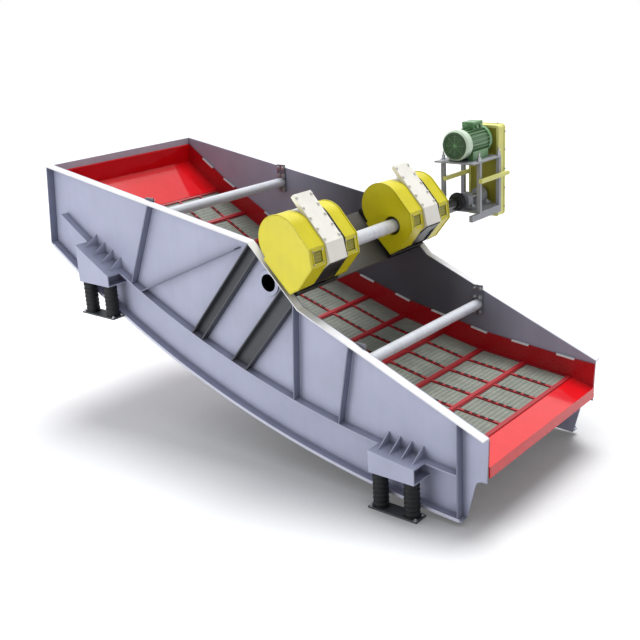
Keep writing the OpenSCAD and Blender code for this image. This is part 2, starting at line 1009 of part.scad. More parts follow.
// Foot-mounted motor with a fan cowl, fins, a terminal box and two feet.
module motor() {
  at = [axis_xz.x, motor_z];
  y0 = belt_y - motor_l;
  cowl_l = 130;
  cowl_edge = 22;
  body_end = motor_l - 145;
  body_d = motor_d - 60;
  fins = 24;
  foot_from = cowl_l + 30;
  foot_to = body_end - 50;
  box = [170, 230, 100];
  color("seagreen")
    placed() {
      difference() {
        union() {
          across(at, y0 + cowl_edge, y0 + cowl_l, motor_d);
          translate([at.x, y0 + cowl_edge, at.y])
            rotate([90, 0, 0])
              cylinder(d1 = motor_d, d2 = motor_d - 2 * cowl_edge, h = cowl_edge);
        }
        across(at, y0 - 1, y0 + cowl_edge, motor_d - 110);
      }
      across(at, y0 + cowl_l - 10, y0 + body_end, body_d);
      across(at, y0 + body_end - 10, y0 + body_end + 50, motor_d - 20);
      across(at, y0 + body_end + 40, belt_y, 110);
      for (i = [0:fins - 1])
        translate([at.x, y0 + cowl_l - 5, at.y])
          rotate([0, i * 360 / fins, 0])
            translate([-4, 0, 0])
              cube([8, body_end - cowl_l + 10, motor_d / 2 - 6]);
      translate([at.x - box.x / 2, y0 + body_end - 30 - box.y, at.y + body_d / 2 - 5])
        cube(box);
      for (x = [-1, 1])
        translate([at.x + x * 140 - 45, y0 + foot_from, plate_z])
          cube([90, foot_to - foot_from, motor_foot - 90]);
    }
}

side_plate(-1);  // side_plate_right
side_plate(1);  // side_plate_left
top_flange(-1);  // top_flange_right
top_flange(1);  // top_flange_left
girder_flanges(-1);  // girder_flanges_right
girder_flanges(1);  // girder_flanges_left
stiffeners(-1);  // stiffeners_right
stiffeners(1);  // stiffeners_left
exciter_channels(-1);  // exciter_channels_right
exciter_channels(1);  // exciter_channels_left
bracket(-1, -feed_spring_x, feed_rise + base_t + spring_h);  // feed_bracket_right
bracket(1, -feed_spring_x, feed_rise + base_t + spring_h);  // feed_bracket_left
bracket(-1, 0, base_t + spring_h);  // discharge_bracket_right
bracket(1, 0, base_t + spring_h);  // discharge_bracket_left
back_plate();
feed_liner();
side_liner(-1);  // side_liner_right
side_liner(1);  // side_liner_left
deck_tubes();
deck_rails();
deck_mesh();
deck_frames();
discharge_lip();
tie_tube(feed_tie);  // feed_tie_tube
tie_tube(discharge_tie);  // discharge_tie_tube
exciter_bridge();
exciter_seat(-1);  // exciter_seat_right
exciter_seat(1);  // exciter_seat_left
exciter_housing(-1);  // exciter_housing_right
exciter_housing(1);  // exciter_housing_left
guard(-1, housing_out, false);  // outer_guard_right
guard(-1, guard_in, true);  // inner_guard_right
guard(1, guard_in, true);  // inner_guard_left
guard(1, housing_out, true);  // outer_guard_left
link_shaft();
drive_shaft();
jackshaft();
tyre_coupling();
springs(-feed_spring_x, feed_rise + base_t);  // feed_springs
springs(0, base_t);  // discharge_springs
base_plate(-1, -feed_spring_x, feed_rise);  // feed_base_right
base_plate(1, -feed_spring_x, feed_rise);  // feed_base_left
base_plate(-1, 0, 0);  // discharge_base_right
base_plate(1, 0, 0);  // discharge_base_left
drive_stand();
guard_rails();
bearing_blocks();
belt_guard();
motor();
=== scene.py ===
import math

import bmesh
import bpy
from mathutils import Matrix, Vector


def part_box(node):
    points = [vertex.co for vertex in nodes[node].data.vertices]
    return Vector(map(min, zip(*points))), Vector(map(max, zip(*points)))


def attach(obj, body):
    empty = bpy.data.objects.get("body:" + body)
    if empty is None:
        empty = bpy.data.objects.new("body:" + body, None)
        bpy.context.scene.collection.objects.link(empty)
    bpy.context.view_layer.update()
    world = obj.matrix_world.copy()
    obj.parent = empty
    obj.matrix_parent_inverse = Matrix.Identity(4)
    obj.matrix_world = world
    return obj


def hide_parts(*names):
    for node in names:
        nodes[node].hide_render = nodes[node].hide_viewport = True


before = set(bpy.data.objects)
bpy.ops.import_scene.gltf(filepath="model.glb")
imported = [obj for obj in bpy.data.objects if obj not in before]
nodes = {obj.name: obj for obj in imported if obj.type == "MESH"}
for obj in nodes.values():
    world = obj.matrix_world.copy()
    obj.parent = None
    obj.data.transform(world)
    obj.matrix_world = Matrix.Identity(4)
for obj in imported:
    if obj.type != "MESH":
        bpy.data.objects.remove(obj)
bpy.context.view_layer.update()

# Studio: a wide matt floor and a white room that is dimmer past the discharge end, with one soft
# high lamp and a low one before the near wall. The floor shows white to the camera round the shadow.
FLOOR_R = 120.0
SHADOW_POWER = 1.05
FLOOR_GLOW = 0.12


def linear(code):
    """An sRGB hex colour as the linear RGBA that shader sockets take."""
    channels = [int(code[i:i + 2], 16) / 255 for i in (1, 3, 5)]
    return [c / 12.92 if c <= 0.04045 else ((c + 0.055) / 1.055) ** 2.4 for c in channels] + [1.0]


def add(tree, kind, sockets=None, **settings):
    """Adds a shader node, with its settings and with values or links on its input sockets."""
    node = tree.nodes.new("ShaderNode" + kind)
    for name, value in settings.items():
        setattr(node, name, value)
    for name, value in (sockets or {}).items():
        if isinstance(value, bpy.types.NodeSocket):
            tree.links.new(value, node.inputs[name])
        else:
            node.inputs[name].default_value = value
    return node


def empty_finish(name):
    """A new material with an empty node tree."""
    material = bpy.data.materials.new(name)
    material.use_nodes = True
    material.node_tree.nodes.clear()
    return material, material.node_tree


def seen(tree):
    """1 for rays that the camera, a mirror or glass sees, and 0 for light."""
    path = add(tree, "LightPath").outputs
    either = add(tree, "Math", {0: path["Is Camera Ray"], 1: path["Is Glossy Ray"]}, operation="MAXIMUM")
    every = add(tree, "Math", {0: either.outputs[0], 1: path["Is Transmission Ray"]}, operation="MAXIMUM")
    return every.outputs[0]


def piece(name, bm, material, body):
    """Makes a finished mesh an object at the origin that moves with a body of the frame."""
    mesh = bpy.data.meshes.new(name)
    bmesh.ops.recalc_face_normals(bm, faces=bm.faces)
    bm.to_mesh(mesh)
    bm.free()
    mesh.materials.append(material)
    obj = bpy.data.objects.new(name, mesh)
    bpy.context.scene.collection.objects.link(obj)
    if body:
        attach(obj, body)
    return obj


# Matt studio white: throws back light as a pale grey, and shows as white with soft shade near the feet.
studio_white, tree = empty_finish("studio_white_matt")
bounce = add(tree, "BsdfDiffuse", {"Color": linear("#C9C9CB")})
open_sky = add(tree, "AmbientOcclusion", {"Distance": 1.7}, samples=16)
shaded = add(tree, "Math", {0: open_sky.outputs["AO"], 1: SHADOW_POWER}, operation="POWER")
matt = add(tree, "BsdfDiffuse", {"Color": shaded.outputs[0]})
glow = add(tree, "Emission", {"Color": linear("#FFFFFF"), "Strength": 1.0})
shown = add(tree, "MixShader", {0: FLOOR_GLOW, 1: matt.outputs[0], 2: glow.outputs[0]})
mixed = add(tree, "MixShader", {0: seen(tree), 1: bounce.outputs[0], 2: shown.outputs[0]})
add(tree, "OutputMaterial", {"Surface": mixed.outputs[0]})
bm = bmesh.new()
bmesh.ops.create_circle(bm, cap_ends=True, segments=96, radius=FLOOR_R)
floor = piece("studio_floor", bm, studio_white, None)

world = bpy.data.worlds.new("white_room")
bpy.context.scene.world = world
world.use_nodes = True
tree = world.node_tree
tree.nodes.clear()
direction = add(tree, "SeparateXYZ", {0: add(tree, "TexCoord").outputs["Generated"]})
level = add(tree, "MapRange", {
    "Value": direction.outputs[0], "From Min": -0.6, "From Max": 0.8, "To Min": 0.66, "To Max": 0.40})
room = add(tree, "Background", {"Color": linear("#F7F9FF"), "Strength": level.outputs[0]})
white = add(tree, "Background", {"Color": linear("#FFFFFF"), "Strength": 1.0})
mixed = add(tree, "MixShader", {0: seen(tree), 1: room.outputs[0], 2: white.outputs[0]})
add(tree, "OutputWorld", {"Surface": mixed.outputs[0]})


def lamp(name, kind, place, target, energy, **settings):
    """A lamp at a place that shines towards a target."""
    data = bpy.data.lights.new(name, kind)
    data.energy = energy
    for key, value in settings.items():
        setattr(data, key, value)
    obj = bpy.data.objects.new(name, data)
    obj.location = place
    obj.rotation_euler = (Vector(target) - Vector(place)).to_track_quat("-Z", "Y").to_euler()
    bpy.context.scene.collection.objects.link(obj)


lamp("high_lamp", "SUN", place=(-3.2, 5.4, 12.0), target=(-2.0, 1.4, 1.0), energy=2.7,
     angle=math.radians(34))
lamp("front_lamp", "AREA", place=(-5.0, -10.0, 1.0), target=(-2.5, 0.0, 1.6), energy=400.0,
     shape="RECTANGLE", size=7.0, size_y=1.6)

view = bpy.data.cameras.new("view")
view.lens = 55.755
view.sensor_width = 36.0
view.shift_x = 0.0018
view.shift_y = -0.0167
view.clip_end = 400.0
camera = bpy.data.objects.new("view", view)
camera.location = (5.466, -7.571, 5.356)
camera.rotation_euler = [math.radians(a) for a in (71.84, 2.967, 39.21)]
bpy.context.scene.collection.objects.link(camera)
bpy.context.scene.camera = camera
bpy.context.scene.view_settings.view_transform = "Standard"

# Side walls: 12 mm steel plates with a back plate, spring brackets, girder flanges and stiffeners
# welded to them. The lower girder follows a circle that lies under the joints of the deck's slopes.
# The box is shot-blasted, welded and sprayed with a pale violet-grey enamel in two coats.
SIDES = (("right", -1), ("left", 1))
plate_low, plate_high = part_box("side_plate_left")
MID = (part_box("side_plate_right")[0].y + plate_high.y) / 2
WALL_IN = plate_low.y - MID
WALL_OUT = plate_high.y - MID
FLANGE_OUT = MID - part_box("girder_flanges_right")[0].y
BRIDGE_X = sum(corner.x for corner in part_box("exciter_bridge")) / 2

SLOPE_L = 1.200
LAST_FALL = math.radians(5.8)
FALL_STEP = math.radians(5.7)
DECK_GAP = 0.004
LIP_SINK = 0.001
BELLY_DROP = 0.643
GIRDER_H = 0.505
GIRDER_SHIFT = Vector((0.174, 0, -0.090))
FLANGE_T = 0.016
lip_low, lip_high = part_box("discharge_lip")
DECK_END = Vector((lip_low.x - DECK_GAP, MID, lip_high.z + LIP_SINK))
DECK_R = SLOPE_L / 2 / math.sin(FALL_STEP / 2)
CURVE = (DECK_END + SLOPE_L / 2 * Vector((-math.cos(LAST_FALL), 0, math.sin(LAST_FALL)))
         + DECK_R * math.cos(FALL_STEP / 2) * Vector((math.sin(LAST_FALL), 0, math.cos(LAST_FALL)))
         + GIRDER_SHIFT)
BELLY_R = DECK_R + BELLY_DROP
UPPER_R = BELLY_R - GIRDER_H

# Both ends of each stiffener, as (x, z), and the beads along them and along the girder's flanges.
RIBS = [((-3.620, 2.940), (-4.078, 1.899)), ((-1.388, 2.050), (-1.457, 0.917)),
        ((-0.648, 1.707), (-0.822, 0.778)), ((-3.920, 1.817), (-2.214, 2.576))]
RIB_BEAD = 0.008
BEAD_R = 0.007
BEAD_SIDES = 8
GIRDER_BEADS = ((UPPER_R, (-5.36, 0.66)), (BELLY_R - FLANGE_T, (-5.20, 0.66)))
# The pale bar on the edge of the lower flange: its reach about the belly, the flange's edge and along x.
EDGE_BAR_R = (-0.032, 0.006)
EDGE_BAR_Y = (-0.001, 0.006)
EDGE_BAR_X = (-5.62, 0.71)

RUN_SHARE = 0.22


def per_metre(mm):
    """The texture scale that gives a pattern a real size in millimetres."""
    return 1000 / mm


def enamel(name, colour, pale, rough, cloud_mm=420, coat=0.0, inside=None):
    """Sprayed enamel: clouds of film thickness, faint runs, orange peel, corners darkened by painted shade,
    and paler edges.
    Orange peel is about 2 mm wide and is drawn at 9 mm, so that it shows in the render.
    inside gives a half width about the middle plane, and the tones there near the exciters and far off. On
    the walls' inner faces these tones are painted shade, darkest near the exciters."""
    material, tree = empty_finish(name)
    place = add(tree, "TexCoord").outputs["Object"]
    cloud = add(tree, "TexNoise", {
        "Vector": place, "Scale": per_metre(cloud_mm), "Detail": 4.0, "Roughness": 0.55})
    drawn = add(tree, "Mapping", {"Vector": place, "Scale": (1.0, 1.0, 0.06)})
    runs = add(tree, "TexNoise", {"Vector": drawn.outputs[0], "Scale": per_metre(70), "Detail": 2.0})
    peel = add(tree, "TexNoise", {"Vector": place, "Scale": per_metre(9), "Detail": 1.0})
    rounded = add(tree, "Bevel", {"Radius": 0.007}, samples=4)
    flat = add(tree, "NewGeometry")
    turn = add(tree, "VectorMath", {0: rounded.outputs[0], 1: flat.outputs["Normal"]},
               operation="DOT_PRODUCT")
    edge = add(tree, "MapRange", {
        "Value": turn.outputs["Value"], "From Min": 0.98, "From Max": 0.72, "To Max": 0.55})
    film = add(tree, "Mix", {0: RUN_SHARE, 2: cloud.outputs[0], 3: runs.outputs[0]})
    shade = add(tree, "MapRange", {
        "Value": film.outputs[0], "From Min": 0.3, "From Max": 0.7, "To Min": 0.92, "To Max": 1.06})
    # Painted shade: ambient occlusion darkens the colour in corners, recesses and between parts.
    corner = add(tree, "AmbientOcclusion", {"Distance": 0.16}, samples=6)
    corner_shade = add(tree, "MapRange", {
        "Value": corner.outputs["AO"], "From Min": 0.25, "From Max": 0.85, "To Min": 0.55})
    film_and_corner_shade = add(tree, "Math", {0: shade.outputs[0], 1: corner_shade.outputs[0]}, operation="MULTIPLY")
    tinted = add(tree, "Mix", {0: 1.0, 6: linear(colour), 7: film_and_corner_shade.outputs[0]},
                 data_type="RGBA", blend_type="MULTIPLY")
    # Within the half width: on the walls' inner faces a painted shade, darker near the exciters; on the
    # ties their silver tube.
    if inside:
        half, near, far = inside
        spot = add(tree, "SeparateXYZ", {0: place}).outputs
        beside = add(tree, "Math", {0: spot[0], 1: BRIDGE_X}, operation="SUBTRACT")
        apart = add(tree, "Math", {0: beside.outputs[0]}, operation="ABSOLUTE")
        fade = add(tree, "MapRange", {"Value": apart.outputs[0], "From Min": 0.7, "From Max": 1.8})
        tone_field = add(tree, "Mix", {0: fade.outputs[0], 6: linear(near), 7: linear(far)}, data_type="RGBA")
        within = add(tree, "Math", {0: spot[1], 1: MID, 2: half}, operation="COMPARE")
        tone = add(tree, "Mix", {0: within.outputs[0], 6: linear(colour), 7: tone_field.outputs[2]},
                   data_type="RGBA")
        tree.links.new(tone.outputs[2], tinted.inputs[6])
    worn = add(tree, "Mix", {0: edge.outputs[0], 6: tinted.outputs[2], 7: linear(pale)}, data_type="RGBA")
    gloss = add(tree, "MapRange", {
        "Value": film.outputs[0], "From Min": 0.3, "From Max": 0.7,
        "To Min": rough - 0.05, "To Max": rough + 0.07})
    bump = add(tree, "Bump", {
        "Height": peel.outputs[0], "Normal": rounded.outputs[0], "Distance": 0.0005, "Strength": 0.3})
    shader = add(tree, "BsdfPrincipled", {
        "Base Color": worn.outputs[2], "Roughness": gloss.outputs[0], "Normal": bump.outputs[0],
        "IOR": 1.5, "Coat Weight": coat, "Coat Roughness": 0.12})
    add(tree, "OutputMaterial", {"Surface": shader.outputs[0]})
    return material


def paint(material, *names):
    """Gives CAD nodes of the frame a material."""
    for name in names:
        nodes[name].data.materials.clear()
        nodes[name].data.materials.append(material)


def both(*stems):
    """The names of the right and the left node for each stem."""
    return [stem + "_" + side for stem in stems for side, sign in SIDES]


# Satin violet-grey enamel: an even film with faint clouds, a soft sheen and paler edges.
grey_enamel = enamel("satin_grey_enamel", "#AFB2C8", "#D8DAE6", 0.42)
paint(grey_enamel, *both("girder_flanges", "feed_bracket", "discharge_bracket"))
# The same enamel on the side plates, with painted shade on their inner faces: dark near the exciters, paler
# far off.
wall_enamel = enamel("satin_grey_enamel_painted_shade_inside", "#AFB2C8", "#D8DAE6", 0.42,
                     inside=((WALL_IN + WALL_OUT) / 2, "#575B64", "#A9ACBE"))
paint(wall_enamel, *both("side_plate"))
# Pale grey enamel: the walls' grey painted lighter, as painted light on the back plate and the girders'
# edge bars.
lit_grey_enamel = enamel("satin_grey_enamel_painted_light", "#CFD1E0", "#E6E7EF", 0.4)
paint(lit_grey_enamel, "back_plate")
# Slate enamel: the walls' grey painted darker on the stiffeners, as painted shade on their sides, so that
# they read as lines on the wall.
shaded_slate_enamel = enamel("satin_slate_enamel_painted_shade", "#7D8196", "#C6C8D6", 0.45)
paint(shaded_slate_enamel, *both("stiffeners"))


def post(bm, frame_of, sides, radii, low, high):
    """A round or many-sided post along z of a frame, with a radius at each of its two heights."""
    bmesh.ops.create_cone(bm, cap_ends=True, segments=sides, radius1=radii[0], radius2=radii[1],
                          depth=high - low, matrix=frame_of @ Matrix.Translation((0, 0, (low + high) / 2)))


def facing(point, out):
    """A frame at a point with its z along a direction."""
    return Matrix.Translation(point) @ Vector(out).to_track_quat("Z", "Y").to_matrix().to_4x4()


def curve_spin(bm, section, turn, steps):
    """Draws a face along the girder's circle into a closed bar."""
    bmesh.ops.spin(bm, geom=[section, *section.edges, *section.verts], cent=(CURVE.x, 0, CURVE.z),
                   axis=(0, -1, 0), angle=turn, steps=steps)


def on_curve(radius, angle, y):
    """The point of a circle round the girder's centre at an angle from straight down."""
    return Vector((CURVE.x + radius * math.sin(angle), y, CURVE.z - radius * math.cos(angle)))


def arc_bead(bm, radius, y, xs):
    """A weld bead along the curved girder between two places."""
    first, last = [math.asin((x - CURVE.x) / radius) for x in xs]
    start = facing(on_curve(radius, first, y), (math.cos(first), 0, math.sin(first)))
    ring = bmesh.ops.create_circle(bm, cap_ends=True, segments=BEAD_SIDES, radius=BEAD_R, matrix=start)
    curve_spin(bm, ring["verts"][0].link_faces[0], last - first, steps=40)


def arc_bar(bm, radii, ys, xs):
    """A flat bar on edge along the curved girder, between two radii, two planes and two places."""
    first, last = [math.asin((x - CURVE.x) / radii[1]) for x in xs]
    corners = ((radii[0], ys[0]), (radii[1], ys[0]), (radii[1], ys[1]), (radii[0], ys[1]))
    section = bm.faces.new([bm.verts.new(on_curve(r, first, y)) for r, y in corners])
    curve_spin(bm, section, last - first, steps=60)


for side, sign in SIDES:
    bm = bmesh.new()
    skin = MID + sign * WALL_OUT
    for (x0, z0), (x1, z1) in RIBS:
        along = Vector((x1 - x0, 0, z1 - z0))
        across = Vector((-along.z, 0, along.x)).normalized() * RIB_BEAD
        for offset in (across, -across):
            start = facing(Vector((x0, skin, z0)) + offset, along)
            post(bm, start, BEAD_SIDES, (BEAD_R, BEAD_R), 0, along.length)
    for radius, xs in GIRDER_BEADS:
        arc_bead(bm, radius, skin, xs)
    piece("wall_welds_" + side, bm, grey_enamel, "screen_box")
    # The edge bar's pale grey is painted light along the lower flange's edge.
    bm = bmesh.new()
    ys = [MID + sign * (FLANGE_OUT + offset) for offset in EDGE_BAR_Y]
    arc_bar(bm, [BELLY_R + offset for offset in EDGE_BAR_R], ys, EDGE_BAR_X)
    piece("girder_edge_bar_" + side, bm, lit_grey_enamel, "screen_box")

# Top flanges: flat bars welded along the upper edges of the side walls, with a lighter top coat.
# They stiffen the free edge and run down both sides of the inclined exciter seat.
# White enamel: bright and even, with a slight gloss on the upper face.
white_enamel = enamel("white_enamel", "#F1F1F3", "#FFFFFF", 0.36)
paint(white_enamel, *both("top_flange"))

# Exciter channels: heavy pressed channels that carry the exciter's force from the seat down into
# the girder, sprayed dark grey.
# Dark grey enamel: matt, with pale rubbed edges where the channel's flanges end.
dark_enamel = enamel("matt_dark_grey_enamel", "#3F4348", "#84878B", 0.5)
paint(dark_enamel, *both("exciter_channels"))

# Cross tubes: two upper ties with end plates, the exciter bridge, and the tubes and rails under the
# deck. Steel tube with welded end plates that are bolted through the side walls.
PLATE_T = 0.020
PLATE_EDGE = 0.001
TIES = ("feed_tie_tube", "discharge_tie_tube")
TIE_BOLT_W = 0.032
TIE_BOLT_IN = 0.030
TIE_BOLT_UP = 0.035
TIE_BOLTS_DOWN = (0.150, 0.040)
# Silver enamel: fine aluminium flake under a clear coat, brighter and smoother than the walls. The ties
# have it on their tubes, between slate end plates.
SILVER = "#DADDE4"
tie_enamel = enamel("silver_enamel_slate_ends", "#6B6E7A", "#B9BBC4", 0.28, cloud_mm=240, coat=0.3,
                    inside=(WALL_IN - PLATE_T - PLATE_EDGE, SILVER, SILVER))
paint(tie_enamel, *TIES)
paint(grey_enamel, "deck_tubes", "deck_rails")
# Dull dark grey on the exciter bridge, as painted shade under and between the exciters.
shaded_bridge_grey = enamel("dull_grey_enamel_painted_shade", "#4B4945", "#8E8A82", 0.6)
paint(shaded_bridge_grey, "exciter_bridge")
# Black enamel: satin, on the exciters' seats, and as painted shade on a sleeve and discs that darken the
# bore of the bridge tube.
black_enamel = enamel("satin_black_enamel", "#0B0B0D", "#3C3D41", 0.4)

shaft_low, shaft_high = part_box("jackshaft")
AXIS = Vector(((shaft_low.x + shaft_high.x) / 2, MID, (shaft_low.z + shaft_high.z) / 2))
AXIS_ALONG = 0.084
AXIS_H = 0.352
LEAN = Matrix.Rotation(math.radians(45), 4, "Y")
SEAT = Matrix.Translation(AXIS) @ LEAN @ Matrix.Translation((-AXIS_ALONG, 0, -AXIS_H))
TUBE_UP = 0.008
TUBE_DROP = 0.195
TUBE = SEAT @ Matrix.Translation((-TUBE_UP, 0, -TUBE_DROP))
TUBE_R = 0.125
# The black sleeve and discs of painted shade in the bridge tube's bore.
BORE_SHADE = (0.003, -0.0005)
BORE_SHADE_Y = 0.70
BORE_SHADE_L = 0.545
BORE_DISC_R = 0.122
BORE_DISC_Y = 0.75
BORE_DISC_L = 0.100
RING = (0.022, 0.0235)
RING_Y = 1.243
RING_T = 0.005
ROUND = 48
# Lays what stands along z down along y.
TO_Y = Matrix.Rotation(math.radians(90), 4, "X")


def grown(outline, width):
    """A closed outline, drawn anticlockwise, moved outwards by a width."""
    moved = []
    for k, point in enumerate(outline):
        before = (point - outline[k - 1]).normalized()
        after = (outline[(k + 1) % len(outline)] - point).normalized()
        out = Vector((before.y + after.y, -before.x - after.x)) / (1 + before.dot(after))
        moved.append(point + width * out)
    return moved


def drawn_out(bm, faces, frame_of, depth):
    """Draws faces out along y of a frame into a closed block."""
    drawn = bmesh.ops.extrude_face_region(bm, geom=faces)["geom"]
    bmesh.ops.translate(bm, verts=[g for g in drawn if isinstance(g, bmesh.types.BMVert)],
                        vec=frame_of.to_3x3() @ Vector((0, depth, 0)))


def rim(bm, frame_of, outline, inset, outset, y, depth):
    """A strip round a closed outline, from inset inside it to outset outside it, depth long across y."""
    edges = []
    for width in (-inset, outset):
        verts = [bm.verts.new(frame_of @ Vector((p.x, y, p.y))) for p in grown(outline, width)]
        edges += [bm.edges.new((verts[k - 1], v)) for k, v in enumerate(verts)]
    faces = bmesh.ops.bridge_loops(bm, edges=edges)["faces"]
    drawn_out(bm, faces, frame_of, depth)


def arc(centre, radius, first, last, step):
    """Points on an arc between two angles in degrees."""
    return [centre + radius * Vector((math.cos(math.radians(a)), math.sin(math.radians(a))))
            for a in range(first, last, step)]


BORE = arc(Vector((0, 0)), TUBE_R, 0, 360, 8)
# Painted shade: a black sleeve and a black disc in each half of the bridge tube darken its bore.
bore_shades = bmesh.new()
rings = bmesh.new()
for sign in (-1, 1):
    rim(bore_shades, TUBE, BORE, *BORE_SHADE, sign * BORE_SHADE_Y, sign * BORE_SHADE_L)
    bore_disc = TUBE @ Matrix.Translation((0, sign * BORE_DISC_Y, 0)) @ TO_Y
    post(bore_shades, bore_disc, ROUND, (BORE_DISC_R, BORE_DISC_R), -BORE_DISC_L / 2, BORE_DISC_L / 2)
    rim(rings, TUBE, BORE, *RING, sign * RING_Y, sign * RING_T)
piece("bridge_tube_painted_shade", bore_shades, black_enamel, "screen_box")
piece("bridge_tube_rings", rings, grey_enamel, "screen_box")


def hex_bolts(name, places, width, material, body):
    """Hexagon heads on washers, each at a point with its outward direction. width is across the flats.
    The rows are the washer, the head and its crown: sides, radii and heights."""
    bm = bmesh.new()
    for point, out in places:
        stand = facing(point, out)
        for sides, wide, narrow, low, high in (
                (14, width, width * 0.97, -0.001, 0.005),
                (6, width * 0.577, width * 0.577, 0.004, 0.004 + width * 0.6),
                (12, width * 0.5, width * 0.42, 0.003 + width * 0.6, 0.004 + width * 0.67)):
            post(bm, stand, sides, (wide, narrow), low, high)
    piece(name, bm, material, body)


# Zinc-plated steel: a cool grey metal with cloudy, slightly dull crystals.
zinc, tree = empty_finish("zinc_plated_steel")
place = add(tree, "TexCoord").outputs["Object"]
crystal = add(tree, "TexVoronoi", {"Vector": place, "Scale": per_metre(6)})
tone = add(tree, "Mix", {0: crystal.outputs[0], 6: linear("#C9CBCE"), 7: linear("#8F9398")},
           data_type="RGBA")
dull = add(tree, "MapRange", {"Value": crystal.outputs[0], "To Min": 0.3, "To Max": 0.45})
shader = add(tree, "BsdfPrincipled", {
    "Base Color": tone.outputs[2], "Metallic": 1.0, "Roughness": dull.outputs[0]})
add(tree, "OutputMaterial", {"Surface": shader.outputs[0]})

for name in TIES:
    low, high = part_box(name)
    heights = [low.z + TIE_BOLT_UP] + [high.z - down for down in TIE_BOLTS_DOWN]
    places = []
    for y, out in ((low.y + PLATE_T, 1), (high.y - PLATE_T, -1)):
        for x in (low.x + TIE_BOLT_IN, high.x - TIE_BOLT_IN):
            places += [(Vector((x, y, z)), (0, out, 0)) for z in heights]
    hex_bolts(name + "_bolts", places, TIE_BOLT_W, zinc, "screen_box")

# Liners: moulded red polyurethane, cast in sheets and bolted to the walls, the chute floor and the
# discharge end. White clamp bars hold the upper edges of the side liners; their white is also a painted
# glint there.
LINER_H = 0.230
CLAMP = (0.115, 0.0165)
CLAMP_IN = 0.0175
CLAMP_Z = (LINER_H - 0.012, LINER_H + 0.010)
# Distances of the clamps up each slope, from the discharge end to the chute.
CLAMP_STARTS = [(0.09, 0.69)] * 4 + [(0.16, 1.04), (0.35,)]


def urethane(name, deep, bright, low, high, coat=0.0):
    """Cast polyurethane: saturated, with faint flow clouds and a waxy sheen between two roughnesses.
    coat is the polish that the material gives to faces that lie upwards."""
    material, tree = empty_finish(name)
    place = add(tree, "TexCoord").outputs["Object"]
    flow = add(tree, "TexNoise", {"Vector": place, "Scale": per_metre(180), "Detail": 3.0})
    grit = add(tree, "TexNoise", {"Vector": place, "Scale": per_metre(14), "Detail": 2.0})
    tone = add(tree, "Mix", {0: flow.outputs[0], 6: linear(deep), 7: linear(bright)}, data_type="RGBA")
    sheen = add(tree, "MapRange", {
        "Value": grit.outputs[0], "From Min": 0.3, "From Max": 0.7, "To Min": low, "To Max": high})
    rounded = add(tree, "Bevel", {"Radius": 0.005}, samples=4)
    bump = add(tree, "Bump", {
        "Height": grit.outputs[0], "Normal": rounded.outputs[0], "Distance": 0.0004, "Strength": 0.25})
    up = add(tree, "SeparateXYZ", {0: add(tree, "NewGeometry").outputs["Normal"]}).outputs[2]
    rubbed = add(tree, "MapRange", {"Value": up, "From Min": 0.2, "From Max": 0.7, "To Max": coat})
    shader = add(tree, "BsdfPrincipled", {
        "Base Color": tone.outputs[2], "Roughness": sheen.outputs[0], "Normal": bump.outputs[0], "IOR": 1.5,
        "Coat Weight": rubbed.outputs[0], "Coat Roughness": 0.05})
    add(tree, "OutputMaterial", {"Surface": shader.outputs[0]})
    return material


# Polished red polyurethane: smooth cast sheets, rubbed by the material, that mirror the room as pink.
polished_red = urethane("polished_red_polyurethane", "#DC0A15", "#F0121E", 0.12, 0.20, coat=0.65)
paint(polished_red, "discharge_lip")
# Burnished red polyurethane: the same sheets in the chute, rubbed so smooth that lamps mirror in one place.
burnished_red = urethane("burnished_red_polyurethane", "#DC0A15", "#F0121E", 0.06, 0.11, coat=0.2)
paint(burnished_red, "feed_liner")
# Satin red polyurethane: a deeper red on the side liners, with a softer sheen.
satin_red = urethane("satin_red_polyurethane", "#A60914", "#C00F1B", 0.25, 0.38)
paint(satin_red, *both("side_liner"))


def slope_frame(i):
    """Frame of slope i, counted from the discharge end: x down the slope, z out of the deck."""
    point = DECK_END.copy()
    for k in range(i):
        angle = LAST_FALL + k * FALL_STEP
        point += SLOPE_L * Vector((-math.cos(angle), 0, math.sin(angle)))
    return Matrix.Translation(point) @ Matrix.Rotation(LAST_FALL + i * FALL_STEP, 4, "Y")


def bar(bm, frame_of, middle, half, heights, soft=0.0):
    """A flat bar about a point of a frame's x-y plane, between two heights, with softened edges.
    half is half its length and width."""
    centre = Vector((*middle, sum(heights) / 2))
    size = Matrix.Diagonal((2 * half[0], 2 * half[1], heights[1] - heights[0], 1))
    cube = bmesh.ops.create_cube(bm, size=1.0, matrix=frame_of @ Matrix.Translation(centre) @ size)
    if soft:
        edges = list({e for v in cube["verts"] for e in v.link_edges})
        bmesh.ops.bevel(bm, geom=edges, offset=soft, segments=2, profile=0.5, affect="EDGES", material=-1)


# The clamps' white also stands in as painted glints along the liners' top edges.
bm = bmesh.new()
for i, starts in enumerate(CLAMP_STARTS):
    for start in starts:
        for sign in (-1, 1):
            bar(bm, slope_frame(i), (-start, sign * (WALL_IN - CLAMP_IN)), CLAMP, CLAMP_Z, soft=0.004)
piece("liner_clamps", bm, white_enamel, "screen_box")

